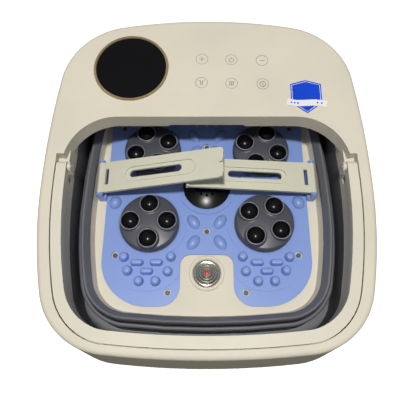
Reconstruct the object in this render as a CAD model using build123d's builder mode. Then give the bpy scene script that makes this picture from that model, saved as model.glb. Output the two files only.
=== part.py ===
from build123d import *
from math import asin, cos, radians, sin, tan
import os

# Folding foot bath, shown folded down.  X runs across it, +Y points to the control deck at the
# rear, Z is up, and the origin is at floor level below the middle of the rim.

os.makedirs("parts", exist_ok=True)

# ---------------------------------------------------------------- driving dimensions
WIDEST_Y = -26.0             # where every ring is at its widest
FRONT_TURNS = (12.0, 6.0)    # how far the side and the end of a ring turn, front half
REAR_TURNS = (8.0, 10.0)     # the same for the rear half

# rings: half width, front reach, rear reach, front corner radius, rear corner radius
RIM = (192.5, 210.0, 210.0, 80.0, 90.0)        # outer edge of the rim
CHANNEL = (178.0, 200.5, 200.5, 68.0, 78.0)    # inner edge of the lip
INNER = (166.0, 187.0, 187.0, 56.0, 66.0)      # inner wall of the rim
WELL = (143.5, 157.0, 160.0, 44.0, 50.0)       # floor of the tub

RIM_TILT = 4.0               # the rim rises towards the rear
FRONT_LIP_Z = 170.0          # top of the front lip
RIM_MID_Z = FRONT_LIP_Z + RIM[1] * tan(radians(RIM_TILT))
SKIRT_Z = 78.0               # lower edge of the rim's outer skirt
SKIRT_FLARE = 5.5
WALL = 3.0

FLOOR_Z = 107.0              # top of the tub floor
PLATE_Z = 110.0              # top of the massage plate
TUB_TOP_Z = 120.0            # top of the tub wall
FLANGE_Z = 75.0              # top of the flange round the tub
COVER_Z = 8.0                # top of the bottom cover

FOLD_LEG = 31.25             # height of each folded leg of the bellows
CREST_1_Z = 123.0            # underside of the inner crest
CREST_2_Z = 113.0            # underside of the outer crest
BAND = 2.5                   # thickness of the bellows

LIP_ROUND = 5.0              # rounding of the rim's outer edge
CHANNEL_DEPTH = 12.5         # floor of the handle channel, below the rim's top
WALL_DEPTH = 37.0            # lower edge of the rim's inner wall
DECK_DEPTH = 22.0            # lower edge of the deck's front
DECK_FRONT_Y = 68.5
DECK_HALF = 170.0
DECK_RADIUS = 62.0
POCKET_Y = 20.0              # rear end of the handle channel

PIVOT_Y = 6.0                # handle pivot
HANDLE_TALL = 11.5
HANDLE_GAP = 0.3
PIN_RADIUS = 2.5

HEAD_X = 73.0
HEAD_Y = (-42.2, 61.2)       # front and rear pairs
HEAD_RADIUS = 38.0
BEAD_CIRCLE = 23.0
BEAD_RADIUS = 10.8
SPINDLE_RADIUS = 4.0

ARM_HINGE_X = 137.0
ARM_HINGE_Z = 127.0
ARM_Y = 15.0
ARM_WIDTH = 42.0
ARM_LENGTH = 164.0
ARM_THICK = 4.0
SLOT_BORDER = 1.2            # height of the border round each arm's slot
SLOT_RECESS = 1.0            # depth of the recess inside it
LEFT_ARM_TILT = 16.5
RIGHT_ARM_TILT = 6.5
LUG_Y = (-3.25, 16.5)        # middles of the two lugs on each arm

HERB_Y = 9.0
HERB_RADIUS = 31.0
LENS_Y = -105.4


# ---------------------------------------------------------------- rings and planes
def ring_radii(half_width, reach, corner, turns):
    """Radii of the side and end arcs that close a quarter ring tangentially."""
    headings = [radians(a) for a in (90, 90 + turns[0], 180 - turns[1], 180)]
    across = [sin(headings[i + 1]) - sin(headings[i]) for i in range(3)]
    along = [cos(headings[i]) - cos(headings[i + 1]) for i in range(3)]
    want_x = -half_width - corner * across[1]
    want_y = reach - corner * along[1]
    det = across[0] * along[2] - across[2] * along[0]
    side = (want_x * along[2] - across[2] * want_y) / det
    end = (across[0] * want_y - want_x * along[0]) / det
    return side, end


def ring_line(ring, grow=0.0):
    """Closed outline of tangent arcs; grow moves it outwards as a parallel curve."""
    half_width, front, rear, front_corner, rear_corner = [size + grow for size in ring]
    front_side, front_end = ring_radii(half_width, front + WIDEST_Y, front_corner, FRONT_TURNS)
    rear_side, rear_end = ring_radii(half_width, rear - WIDEST_Y, rear_corner, REAR_TURNS)
    rear_half = [(rear_side, REAR_TURNS[0]), (rear_corner, 90 - sum(REAR_TURNS))]
    front_half = [(front_side, FRONT_TURNS[0]), (front_corner, 90 - sum(FRONT_TURNS))]
    arcs = rear_half + [(rear_end, 2 * REAR_TURNS[1])] + rear_half[::-1]
    arcs += front_half + [(front_end, 2 * FRONT_TURNS[1])] + front_half[::-1]
    at = Vector(half_width, WIDEST_Y)
    heading = Vector(0, 1)
    for radius, turn in arcs:
        arc = JernArc(start=at, tangent=heading, radius=radius, arc_size=turn)
        at = arc @ 1
        heading = arc % 1


def ring_face(ring, grow=0.0, mode=Mode.ADD):
    with BuildLine() as outline:
        ring_line(ring, grow)
    make_face(outline.edges(), mode=mode)


def band_face(ring, inside, outside):
    """Flat band between two parallel rings."""
    ring_face(ring, outside)
    ring_face(ring, inside, mode=Mode.SUBTRACT)


def rim_plane(depth=0.0):
    """Plane parallel to the rim's sloping top, a given depth below it."""
    slope = radians(RIM_TILT)
    return Plane(origin=(0, 0, RIM_MID_Z - depth), x_dir=(1, 0, 0), z_dir=(0, -sin(slope), cos(slope)))


def rim_z(y):
    return RIM_MID_Z + y * tan(radians(RIM_TILT))


DOWN = (0, 0, -1)


def dome_arc(x, radius, edge_z, top_z):
    """Arc from the edge of a round dome up to its middle, centred on the dome's own axis."""
    rise = top_z - edge_z
    ball = (radius ** 2 + rise ** 2) / (2 * rise)
    half_angle = asin(radius / ball) / 2
    middle = (x + ball * sin(half_angle), top_z - ball + ball * cos(half_angle))
    return ThreePointArc((x + radius, edge_z), middle, (x, top_z))


def finish(builder, name):
    builder.part.label = name
    export_step(builder.part, f"parts/{name}.step")


# ---------------------------------------------------------------- tub and lower housing
HEAD_PLACES = [(side * HEAD_X, y) for y in reversed(HEAD_Y) for side in (-1, 1)]
SEAL_RADIUS = 8.0
HERB_CUP_RADIUS = 28.0
LENS_SEAT_RADIUS = 14.0
TUB_DRAFT = 3.0
SCREW_RADIUS = 2.0
SCREW_HEAD = 1.6
PLATE_SCREWS = [(0, 70.3), (0, -51.3)]
PLATE_SCREWS += [(side * x, y) for x, y in ((115, -82.7), (115, 100), (47.8, -129.4)) for side in (-1, 1)]

with BuildPart() as base_tub:
    # outer body of the pan, standing on the flange of the casing
    with BuildSketch(Plane.XY.offset(FLANGE_Z)):
        ring_face(WELL, TUB_DRAFT + WALL)
    extrude(amount=TUB_TOP_Z - FLANGE_Z)
    # inside of the pan, slightly wider at the top
    with BuildSketch(Plane.XY.offset(FLOOR_Z)):
        ring_face(WELL)
    with BuildSketch(Plane.XY.offset(TUB_TOP_Z)):
        ring_face(WELL, TUB_DRAFT)
    loft(mode=Mode.SUBTRACT)
    # hollow below the floor
    with BuildSketch(Plane.XY.offset(FLANGE_Z)):
        ring_face(WELL, TUB_DRAFT)
    extrude(amount=FLOOR_Z - WALL - FLANGE_Z, mode=Mode.SUBTRACT)
    # shaft holes, herb cup hole and light hole
    with BuildSketch(Plane.XY.offset(FLOOR_Z)):
        with Locations(*HEAD_PLACES):
            Circle(SEAL_RADIUS)
        with Locations((0, HERB_Y)):
            Circle(HERB_CUP_RADIUS + 0.5)
        with Locations((0, LENS_Y)):
            Circle(LENS_SEAT_RADIUS)
        with Locations(*PLATE_SCREWS):
            Circle(SCREW_RADIUS + 0.1)
    extrude(amount=-WALL, mode=Mode.SUBTRACT)
finish(base_tub, "base_tub")

CASING_TOP = -12.0           # inset of the casing from the rim's edge, at its flange
CASING_FOOT = -20.0          # and at its lower edge
INLET_X = 95.0
INLET_Z = 35.0
INLET_RADIUS = 9.0

with BuildPart() as base_casing:
    with BuildSketch(Plane.XY.offset(FLANGE_Z - WALL)):
        ring_face(RIM, CASING_TOP)
    with BuildSketch(Plane.XY.offset(COVER_Z)):
        ring_face(RIM, CASING_FOOT)
    loft()
    with BuildSketch(Plane.XY.offset(FLANGE_Z - WALL)):
        ring_face(RIM, CASING_TOP - WALL)
    with BuildSketch(Plane.XY.offset(COVER_Z)):
        ring_face(RIM, CASING_FOOT - WALL)
    loft(mode=Mode.SUBTRACT)
    # flange that carries the tub and the bellows
    with BuildSketch(Plane.XY.offset(FLANGE_Z - WALL)):
        ring_face(RIM, CASING_TOP)
        ring_face(WELL, TUB_DRAFT, mode=Mode.SUBTRACT)
    extrude(amount=WALL)
    # hole for the mains inlet in the rear wall
    with BuildSketch(Plane.XZ.offset(-150)):
        with Locations((INLET_X, INLET_Z)):
            Circle(INLET_RADIUS)
    extrude(amount=-60, mode=Mode.SUBTRACT)
finish(base_casing, "base_casing")

FEET = [(side * 118, y) for y in (-138, 138) for side in (-1, 1)]
COVER_SCREWS = [(side * x, y) for x, y in ((140, -60), (140, 60), (60, -170), (60, 172)) for side in (-1, 1)]

with BuildPart() as bottom_cover:
    with BuildSketch(Plane.XY.offset(COVER_Z - WALL)):
        ring_face(RIM, CASING_FOOT - 0.5)
        with Locations(*COVER_SCREWS):
            Circle(SCREW_RADIUS + 0.2, mode=Mode.SUBTRACT)
    extrude(amount=WALL)
    # slots that let the motors breathe
    with BuildSketch(Plane.XY.offset(COVER_Z - WALL)):
        with GridLocations(14, 70, 7, 2):
            SlotOverall(40, 4, rotation=90)
    extrude(amount=WALL, mode=Mode.SUBTRACT)
finish(bottom_cover, "bottom_cover")

with BuildPart() as rubber_feet:
    with BuildSketch():
        with Locations(*FEET):
            Circle(13)
    extrude(amount=COVER_Z - WALL)
    chamfer(rubber_feet.faces().group_by(Axis.Z)[0].edges(), 1)
finish(rubber_feet, "rubber_feet")


def screw_set(places, head_z, head_radius, shank, upwards):
    """A group of pan head screws; upwards is 1 where the shank points up."""
    head_side = Align.MAX if upwards > 0 else Align.MIN
    shank_side = Align.MIN if upwards > 0 else Align.MAX
    with Locations(*[(x, y, head_z) for x, y in places]):
        Cylinder(head_radius, SCREW_HEAD, align=(Align.CENTER, Align.CENTER, head_side))
        Cylinder(SCREW_RADIUS, shank, align=(Align.CENTER, Align.CENTER, shank_side))


with BuildPart() as bottom_screws:
    screw_set(COVER_SCREWS, COVER_Z - WALL, 3.6, 12, 1)
finish(bottom_screws, "bottom_screws")

# ---------------------------------------------------------------- massage plate
PLATE_HALF = 131.0
PLATE_REAR = 146.0
PLATE_FRONT = -146.0
NOTCH_HALF = 33.0
NOTCH_TOP = -82.0
STEP = 1.2


def plate_outline():
    right = [(0, NOTCH_TOP), (NOTCH_HALF, NOTCH_TOP), (NOTCH_HALF, PLATE_FRONT), (PLATE_HALF, PLATE_FRONT),
             (PLATE_HALF, PLATE_REAR), (0, PLATE_REAR)]
    with BuildLine() as outline:
        half = FilletPolyline(*right, radius=[13, 25, 58, 45])
        mirror(half, about=Plane.YZ)
    make_face(outline.edges())


PEG_ROUND = [(102.7, -86), (44.7, -85.5), (97.5, -103), (48, -104), (83, -116), (62.6, -116)]
PEG_LONG = [(86.2, -93), (62.4, -93), (73.9, -104)]
PETALS = [(17.2, -39, 35), (17, -66.5, -35), (17.5, 86.3, 35), (15.3, 62.5, -35)]
SIDE_DOMES = [(119.5, -12.4, -30)]
REAR_SLOTS = [(-13.5, 107), (0, 107), (13.5, 107)]
PEG_RADIUS = 6.5
PEG_TALL = 10.5
PEG_TAPER = 9.0
BAR_LONG = 17.0
BAR_WIDE = 9.0
BAR_TALL = 9.0
PETAL = (11.5, 7.5, 2.5)     # half length, half width, and how deep the middle is sunk
SIDE_DOME = (9.5, 8.5, 2.0)


def edges_at(builder, z):
    """Edges that lie wholly at one height."""
    return builder.edges().filter_by_position(Axis.Z, z - 0.01, z + 0.01)


with BuildPart() as massage_plate:
    # domed petals beside the middle line, and a dome beside each front head
    for shape, places in ((PETAL, PETALS), (SIDE_DOME, SIDE_DOMES)):
        half_long, half_wide, sunk = shape
        for x, y, turn in places:
            for side in (-1, 1):
                heading = radians(90 - side * turn)
                lengthwise = (cos(heading), sin(heading), 0)
                sideways = (sin(heading), -cos(heading), 0)
                middle = (side * x, y, PLATE_Z - sunk)
                with BuildSketch(Plane(origin=middle, x_dir=lengthwise, z_dir=sideways)):
                    Ellipse(half_long, half_wide)
                    Rectangle(40, 20, align=(Align.CENTER, Align.MIN), mode=Mode.INTERSECT)
                revolve(axis=Axis(middle, lengthwise))
    split(bisect_by=Plane.XY.offset(FLOOR_Z), keep=Keep.TOP)
    with BuildSketch(Plane.XY.offset(FLOOR_Z)):
        plate_outline()
    extrude(amount=PLATE_Z - FLOOR_Z)
    # raised fields round the heads and under the pegs
    with BuildSketch(Plane.XY.offset(PLATE_Z)):
        with Locations(*HEAD_PLACES):
            Circle(47)
        with Locations(*[(side * 74, -98) for side in (-1, 1)]):
            Ellipse(42, 30)
        Rectangle(2 * PLATE_HALF, 400, mode=Mode.INTERSECT)
    extrude(amount=STEP)
    with BuildSketch(Plane.XY.offset(PLATE_Z + STEP)):
        with Locations(*HEAD_PLACES):
            Circle(HEAD_RADIUS + 2.5)
    extrude(amount=-STEP, mode=Mode.SUBTRACT)
    # round the lens notch the raised fields must not overhang
    with BuildSketch(Plane.XY.offset(PLATE_Z)):
        with Locations((0, LENS_Y)):
            Rectangle(2 * NOTCH_HALF + 1, 60)
    extrude(amount=STEP, mode=Mode.SUBTRACT)
    # pegs that press on the soles
    with BuildSketch(Plane.XY.offset(PLATE_Z)):
        with Locations(*[(side * x, y) for x, y in PEG_ROUND for side in (-1, 1)]):
            Circle(PEG_RADIUS)
    extrude(amount=PEG_TALL, taper=PEG_TAPER)
    fillet(edges_at(massage_plate, PLATE_Z + PEG_TALL), 3.2)
    with BuildSketch(Plane.XY.offset(PLATE_Z)):
        with Locations(*[(side * x, y) for x, y in PEG_LONG for side in (-1, 1)]):
            SlotOverall(BAR_LONG, BAR_WIDE)
    extrude(amount=BAR_TALL, taper=PEG_TAPER)
    fillet(edges_at(massage_plate, PLATE_Z + BAR_TALL), 2.4)
    # raised collar round the herb cup
    with BuildSketch(Plane.XY.offset(PLATE_Z)):
        with Locations((0, HERB_Y)):
            Circle(HERB_RADIUS + 7)
    extrude(amount=2)
    # hinge blocks for the two arms
    for side in (-1, 1):
        with BuildSketch(Plane.XY.offset(FLOOR_Z)):
            with Locations((side * (ARM_HINGE_X - 1.5), ARM_Y)):
                Rectangle(10.5, ARM_WIDTH + 7)
        extrude(amount=PLATE_Z + 8 - FLOOR_Z)
        for end in (-1, 1):
            y = ARM_Y + end * (ARM_WIDTH / 2 + 2)
            with BuildSketch(Plane.XZ.offset(-y)):
                with Locations((side * ARM_HINGE_X, ARM_HINGE_Z)):
                    Circle(4.2)
                with Locations((side * ARM_HINGE_X, (PLATE_Z + ARM_HINGE_Z) / 2)):
                    Rectangle(7.4, ARM_HINGE_Z - PLATE_Z)
            extrude(amount=1.5, both=True)
    # openings
    with BuildSketch(Plane.XY.offset(PLATE_Z + 10)):
        with Locations(*HEAD_PLACES):
            Circle(SEAL_RADIUS)
        with Locations((0, HERB_Y)):
            Circle(HERB_RADIUS + 2.5)
        with Locations(*PLATE_SCREWS):
            Circle(4.3)
        with Locations(*REAR_SLOTS):
            SlotOverall(16, 5, rotation=90)
    extrude(amount=-20, mode=Mode.SUBTRACT)
    # pin bores
    for side in (-1, 1):
        with BuildSketch(Plane.XZ.offset(-ARM_Y)):
            with Locations((side * ARM_HINGE_X, ARM_HINGE_Z)):
                Circle(1.6)
        extrude(amount=ARM_WIDTH, both=True, mode=Mode.SUBTRACT)
finish(massage_plate, "massage_plate")

with BuildPart() as plate_screws:
    screw_set(PLATE_SCREWS, FLOOR_Z, 3.2, 6, -1)
finish(plate_screws, "plate_screws")

# ---------------------------------------------------------------- massage heads and their drives
HEAD_BASE_Z = PLATE_Z + 0.8
HEAD_EDGE = 10.0
HEAD_CROWN = 14.0
COLLAR_RADIUS = 12.3
COLLAR_TOP_Z = PLATE_Z + 16.5
BEAD_TOP_Z = PLATE_Z + 20.5
SPINDLE_END_Z = 92.0
HEAD_NAMES = ("rear_left", "rear_right", "front_left", "front_right")
HEAD_TURNS = (22.0, -20.0, 0.0, 57.6)


def bead_places(x, y, turn):
    return [(x + BEAD_CIRCLE * cos(radians(turn + 90 * i)), y + BEAD_CIRCLE * sin(radians(turn + 90 * i)))
            for i in range(4)]


for name, (x, y), turn in zip(HEAD_NAMES, HEAD_PLACES, HEAD_TURNS):
    with BuildPart() as massage_head:
        # domed disc, turned about its own axis
        with BuildSketch(Plane.XZ.offset(-y)):
            with BuildLine() as dome:
                rise = dome_arc(x, HEAD_RADIUS - 4, HEAD_BASE_Z + HEAD_EDGE, HEAD_BASE_Z + HEAD_CROWN)
                edge = ThreePointArc((x + HEAD_RADIUS, HEAD_BASE_Z + HEAD_EDGE - 5),
                                     (x + HEAD_RADIUS - 1.2, HEAD_BASE_Z + HEAD_EDGE - 1.6), rise @ 0)
                Polyline(rise @ 1, (x, HEAD_BASE_Z), (x + HEAD_RADIUS - 2, HEAD_BASE_Z),
                         (x + HEAD_RADIUS, HEAD_BASE_Z + 2), edge @ 0)
            make_face(dome.edges())
        revolve(axis=Axis((x, y, 0), (0, 0, 1)))
        # a raised collar for each bead
        with BuildSketch(Plane.XY.offset(HEAD_BASE_Z)):
            with Locations(*bead_places(x, y, turn)):
                Circle(COLLAR_RADIUS)
        extrude(amount=COLLAR_TOP_Z - HEAD_BASE_Z)
        rims = massage_head.edges().filter_by(GeomType.CIRCLE).group_by(Axis.Z)[-1]
        chamfer(rims, 0.5)
        # seats of the beads
        with BuildSketch(Plane.XY.offset(HEAD_BASE_Z + 4)):
            with Locations(*bead_places(x, y, turn)):
                Circle(BEAD_RADIUS + 0.3)
        extrude(amount=20, mode=Mode.SUBTRACT)
    finish(massage_head, f"massage_head_{name}")

    with BuildPart() as drive_spindle:
        with BuildSketch(Plane.XY.offset(SPINDLE_END_Z)):
            with Locations((x, y)):
                Circle(SPINDLE_RADIUS)
        extrude(amount=HEAD_BASE_Z - SPINDLE_END_Z)
    finish(drive_spindle, f"drive_spindle_{name}")

    with BuildPart() as beads:
        for bead_x, bead_y in bead_places(x, y, turn):
            with BuildSketch(Plane.XZ.offset(-bead_y)):
                with BuildLine() as side:
                    cap = dome_arc(bead_x, BEAD_RADIUS, COLLAR_TOP_Z - 2, BEAD_TOP_Z)
                    Polyline(cap @ 1, (bead_x, HEAD_BASE_Z + 4), (bead_x + BEAD_RADIUS, HEAD_BASE_Z + 4),
                             cap @ 0)
                make_face(side.edges())
            revolve(axis=Axis((bead_x, bead_y, 0), (0, 0, 1)))
    finish(beads, f"head_beads_{name}")

GEARBOX_TOP_Z = FLOOR_Z - WALL
GEARBOX_Z = 80.0
MOTOR_Z = 38.0

for name, (x, y) in zip(HEAD_NAMES, HEAD_PLACES):
    with BuildPart() as head_gearmotor:
        with BuildSketch(Plane.XY.offset(GEARBOX_Z)):
            with Locations((x, y)):
                Circle(26)
        extrude(amount=GEARBOX_TOP_Z - GEARBOX_Z)
        with BuildSketch(Plane.XY.offset(MOTOR_Z)):
            with Locations((x, y)):
                Circle(18)
        extrude(amount=GEARBOX_Z - MOTOR_Z)
        chamfer(head_gearmotor.edges().group_by(Axis.Z)[0], 1.5)
        with BuildSketch(Plane.XY.offset(GEARBOX_TOP_Z)):
            with Locations((x, y)):
                Circle(SPINDLE_RADIUS + 0.3)
        extrude(amount=-(GEARBOX_TOP_Z - SPINDLE_END_Z + 1), mode=Mode.SUBTRACT)
    finish(head_gearmotor, f"head_gearmotor_{name}")

with BuildPart() as shaft_seals:
    with BuildSketch(Plane.XY.offset(GEARBOX_TOP_Z)):
        with Locations(*HEAD_PLACES):
            Circle(SEAL_RADIUS - 0.1)
            Circle(SPINDLE_RADIUS + 0.3, mode=Mode.SUBTRACT)
    extrude(amount=PLATE_Z - GEARBOX_TOP_Z)
finish(shaft_seals, "shaft_seals")

# ---------------------------------------------------------------- herb cup and its lid
CUP_DEPTH = 26.0

with BuildPart() as herb_cup:
    with BuildSketch(Plane.XY.offset(PLATE_Z - CUP_DEPTH)):
        with Locations((0, HERB_Y)):
            Circle(HERB_CUP_RADIUS)
    extrude(amount=CUP_DEPTH)
    with BuildSketch(Plane.XY.offset(FLOOR_Z)):
        with Locations((0, HERB_Y)):
            Circle(HERB_RADIUS + 2.2)
    extrude(amount=4)
    with BuildSketch(Plane.XY.offset(PLATE_Z - CUP_DEPTH + 2)):
        with Locations((0, HERB_Y)):
            Circle(HERB_CUP_RADIUS - 2)
    extrude(amount=40, mode=Mode.SUBTRACT)
finish(herb_cup, "herb_cup")

LID_Z = FLOOR_Z + 4.3
LID_SKIRT = 25.6             # radius of the ring that sits inside the cup

with BuildPart() as herb_lid:
    with BuildSketch(Plane.XZ.offset(-HERB_Y)):
        with BuildLine() as section:
            crown = dome_arc(0, HERB_RADIUS, LID_Z + 2.5, LID_Z + 8.6)
            under = dome_arc(0, LID_SKIRT - 1.6, LID_Z + 1.5, LID_Z + 6.4)
            Line(crown @ 1, under @ 1)
            Polyline(under @ 0, (LID_SKIRT - 1.6, LID_Z - 4), (LID_SKIRT, LID_Z - 4), (LID_SKIRT, LID_Z),
                     (HERB_RADIUS, LID_Z), crown @ 0)
        make_face(section.edges())
    revolve(axis=Axis((0, HERB_Y, 0), (0, 0, 1)))
    # perforations
    with BuildSketch(Plane.XY.offset(LID_Z + 12)):
        with Locations((0, HERB_Y)):
            Circle(1.7)
            for radius, count in ((7.5, 6), (14.5, 12)):
                with PolarLocations(radius, count):
                    Circle(1.7)
    extrude(amount=-12, mode=Mode.SUBTRACT)
finish(herb_lid, "herb_lid")

# ---------------------------------------------------------------- red light in the floor
with BuildPart() as light_lens:
    with BuildSketch(Plane.XZ.offset(-LENS_Y)):
        with BuildLine() as section:
            crown = dome_arc(0, 17.3, FLOOR_Z + 2, FLOOR_Z + 5.5)
            Polyline(crown @ 1, (0, FLOOR_Z - WALL), (LENS_SEAT_RADIUS - 0.2, FLOOR_Z - WALL),
                     (LENS_SEAT_RADIUS - 0.2, FLOOR_Z), (17.3, FLOOR_Z), crown @ 0)
        make_face(section.edges())
    revolve(axis=Axis((0, LENS_Y, 0), (0, 0, 1)))
finish(light_lens, "light_lens")

with BuildPart() as light_ring:
    with BuildSketch(Plane.XY.offset(FLOOR_Z)):
        with Locations((0, LENS_Y)):
            Circle(22)
            Circle(17.6, mode=Mode.SUBTRACT)
    extrude(amount=3.2)
    chamfer(light_ring.edges().group_by(Axis.Z)[-1], 1)
finish(light_ring, "light_ring")

with BuildPart() as light_board:
    with BuildSketch(Plane.XY.offset(FLOOR_Z - WALL - 6)):
        with Locations((0, LENS_Y)):
            Circle(19)
    extrude(amount=1.6)
    with BuildSketch(Plane.XY.offset(FLOOR_Z - WALL - 4.4)):
        with Locations((0, LENS_Y)):
            Circle(19)
            Circle(16, mode=Mode.SUBTRACT)
    extrude(amount=4.4)
    with BuildSketch(Plane.XY.offset(FLOOR_Z - WALL - 4.4)):
        with Locations((0, LENS_Y)):
            Circle(3)
    extrude(amount=2.5)
finish(light_board, "light_board")

# ---------------------------------------------------------------- water and power parts inside the base
with BuildPart() as water_heater:
    with BuildSketch(Plane.YZ.offset(-70)):
        with Locations((118, 60)):
            Circle(17)
    extrude(amount=140)
    for x in (-50, 50):
        with BuildSketch(Plane.YZ.offset(x - 5)):
            with Locations((118, COVER_Z + 20)):
                Rectangle(30, 40)
        extrude(amount=10)
finish(water_heater, "water_heater")

PUMP_Y = 52.0

with BuildPart() as circulation_pump:
    with BuildSketch(Plane.XY.offset(COVER_Z)):
        with Locations((0, PUMP_Y)):
            Circle(21)
    extrude(amount=34)
    with BuildSketch(Plane.XY.offset(COVER_Z + 34)):
        with Locations((0, PUMP_Y)):
            Circle(24)
    extrude(amount=14)
    with BuildSketch(Plane.XY.offset(COVER_Z + 48)):
        with Locations((0, PUMP_Y)):
            Circle(6)
    extrude(amount=GEARBOX_TOP_Z - COVER_Z - 48)
finish(circulation_pump, "circulation_pump")

with BuildPart() as power_board:
    with BuildSketch(Plane.XY.offset(COVER_Z + 6)):
        with Locations((0, -80)):
            Rectangle(120, 60)
    extrude(amount=1.6)
    with BuildSketch(Plane.XY.offset(COVER_Z)):
        with Locations((0, -80)):
            with GridLocations(108, 48, 2, 2):
                Circle(3)
    extrude(amount=6)
    with BuildSketch(Plane.XY.offset(COVER_Z + 7.6)):
        with Locations((-35, -80)):
            Rectangle(26, 30)
        with Locations((8, -88)):
            Rectangle(18, 14)
        with Locations((40, -72)):
            Circle(8)
    extrude(amount=20)
finish(power_board, "power_board")

with BuildPart() as mains_inlet:
    with BuildSketch(Plane.XZ.offset(-180)):
        with Locations((INLET_X, INLET_Z)):
            Circle(INLET_RADIUS - 0.2)
    extrude(amount=17, both=True)
    with BuildSketch(Plane.XZ.offset(-170)):
        with Locations((INLET_X, INLET_Z)):
            Circle(INLET_RADIUS + 3)
    extrude(amount=4)
    with BuildSketch(Plane.XZ.offset(-210)):
        with Locations((INLET_X, INLET_Z)):
            Circle(3.6)
    extrude(amount=60, mode=Mode.SUBTRACT)
finish(mains_inlet, "mains_inlet")

# ---------------------------------------------------------------- bellows, base side
with BuildPart() as bellows_lower_cuff:
    with BuildSketch(Plane.XY.offset(FLANGE_Z)):
        band_face(WELL, 6.2, 6.2 + BAND)
    extrude(amount=TUB_TOP_Z - FLANGE_Z)
    with BuildSketch(Plane.XY.offset(TUB_TOP_Z)):
        band_face(WELL, TUB_DRAFT, 6.2 + BAND)
    extrude(amount=CREST_1_Z - TUB_TOP_Z)
    with BuildSketch(Plane.XY.offset(CREST_1_Z)):
        band_face(WELL, TUB_DRAFT, 12.5)
    extrude(amount=10)
    crest = bellows_lower_cuff.faces().sort_by(Axis.Z)[-1]
    chamfer(crest.outer_wire().edges(), 3)
    chamfer(bellows_lower_cuff.faces().sort_by(Axis.Z)[-1].inner_wires()[0].edges(), 3.5)
finish(bellows_lower_cuff, "bellows_lower_cuff")

with BuildPart() as lower_clamp_ring:
    with BuildSketch(Plane.XY.offset(FLANGE_Z)):
        band_face(WELL, 6.4 + BAND, 14)
    extrude(amount=3)
finish(lower_clamp_ring, "lower_clamp_ring")

with BuildPart() as bellows_lower_fold:
    with BuildSketch(Plane.XY.offset(CREST_1_Z - FOLD_LEG - BAND)):
        band_face(WELL, 10, 16)
    extrude(amount=BAND)
    with BuildSketch(Plane.XY.offset(CREST_1_Z - FOLD_LEG)):
        band_face(WELL, 10, 10 + BAND)
    extrude(amount=FOLD_LEG)
finish(bellows_lower_fold, "bellows_lower_fold")

with BuildPart() as bellows_middle_ring:
    with BuildSketch(Plane.XY.offset(CREST_1_Z - FOLD_LEG)):
        band_face(WELL, 13.5, 13.5 + BAND)
    extrude(amount=CREST_2_Z - CREST_1_Z + FOLD_LEG)
    with BuildSketch(Plane.XY.offset(CREST_2_Z)):
        band_face(WELL, 13.5, 18.5)
    extrude(amount=5)
    chamfer(bellows_middle_ring.edges().group_by(Axis.Z)[-1], 1.5)
finish(bellows_middle_ring, "bellows_middle_ring")

# ---------------------------------------------------------------- bellows, rim side
UPPER_TROUGH_Z = CREST_2_Z - FOLD_LEG

with BuildPart() as bellows_upper_fold:
    with BuildSketch(Plane.XY.offset(UPPER_TROUGH_Z - BAND)):
        ring_face(INNER, 2)
        ring_face(WELL, 16.5, mode=Mode.SUBTRACT)
    extrude(amount=BAND)
    with BuildSketch(Plane.XY.offset(UPPER_TROUGH_Z)):
        band_face(WELL, 16.5, 18.5)
    extrude(amount=FOLD_LEG)
finish(bellows_upper_fold, "bellows_upper_fold")

with BuildPart() as bellows_upper_cuff:
    with BuildSketch(rim_plane(WALL_DEPTH)):
        band_face(INNER, -0.5, 2)
    extrude(amount=120, dir=DOWN)
    split(bisect_by=Plane.XY.offset(UPPER_TROUGH_Z), keep=Keep.TOP)
finish(bellows_upper_cuff, "bellows_upper_cuff")

# ---------------------------------------------------------------- rim
COVER_GAP = 0.3


def arch_face(grow=0.0, mode=Mode.ADD):
    """Opening below the deck's front edge, with its two large rounded corners."""
    half = DECK_HALF + grow
    corner_x = DECK_HALF - DECK_RADIUS
    corner_y = DECK_FRONT_Y - DECK_RADIUS
    with BuildLine() as outline:
        right = JernArc((half, corner_y), (0, 1), DECK_RADIUS + grow, 90)
        left = JernArc((-corner_x, DECK_FRONT_Y + grow), (-1, 0), DECK_RADIUS + grow, 90)
        Line(right @ 1, left @ 0)
        Polyline(left @ 1, (-half, -60), (half, -60), right @ 0)
    make_face(outline.edges(), mode=mode)


def opening_face(grow=0.0, mode=Mode.ADD):
    """Opening of the rim seen from above: the lip's inner edge and the deck's front edge."""
    with BuildSketch() as opening:
        ring_face(CHANNEL, grow)
        with Locations((0, POCKET_Y + grow - 150)):
            Rectangle(400, 300, mode=Mode.INTERSECT)
        arch_face(grow)
    add(opening.sketch, mode=mode)


DISPLAY = (-95.0, 137.0)
DISPLAY_RADIUS = 47.0

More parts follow.
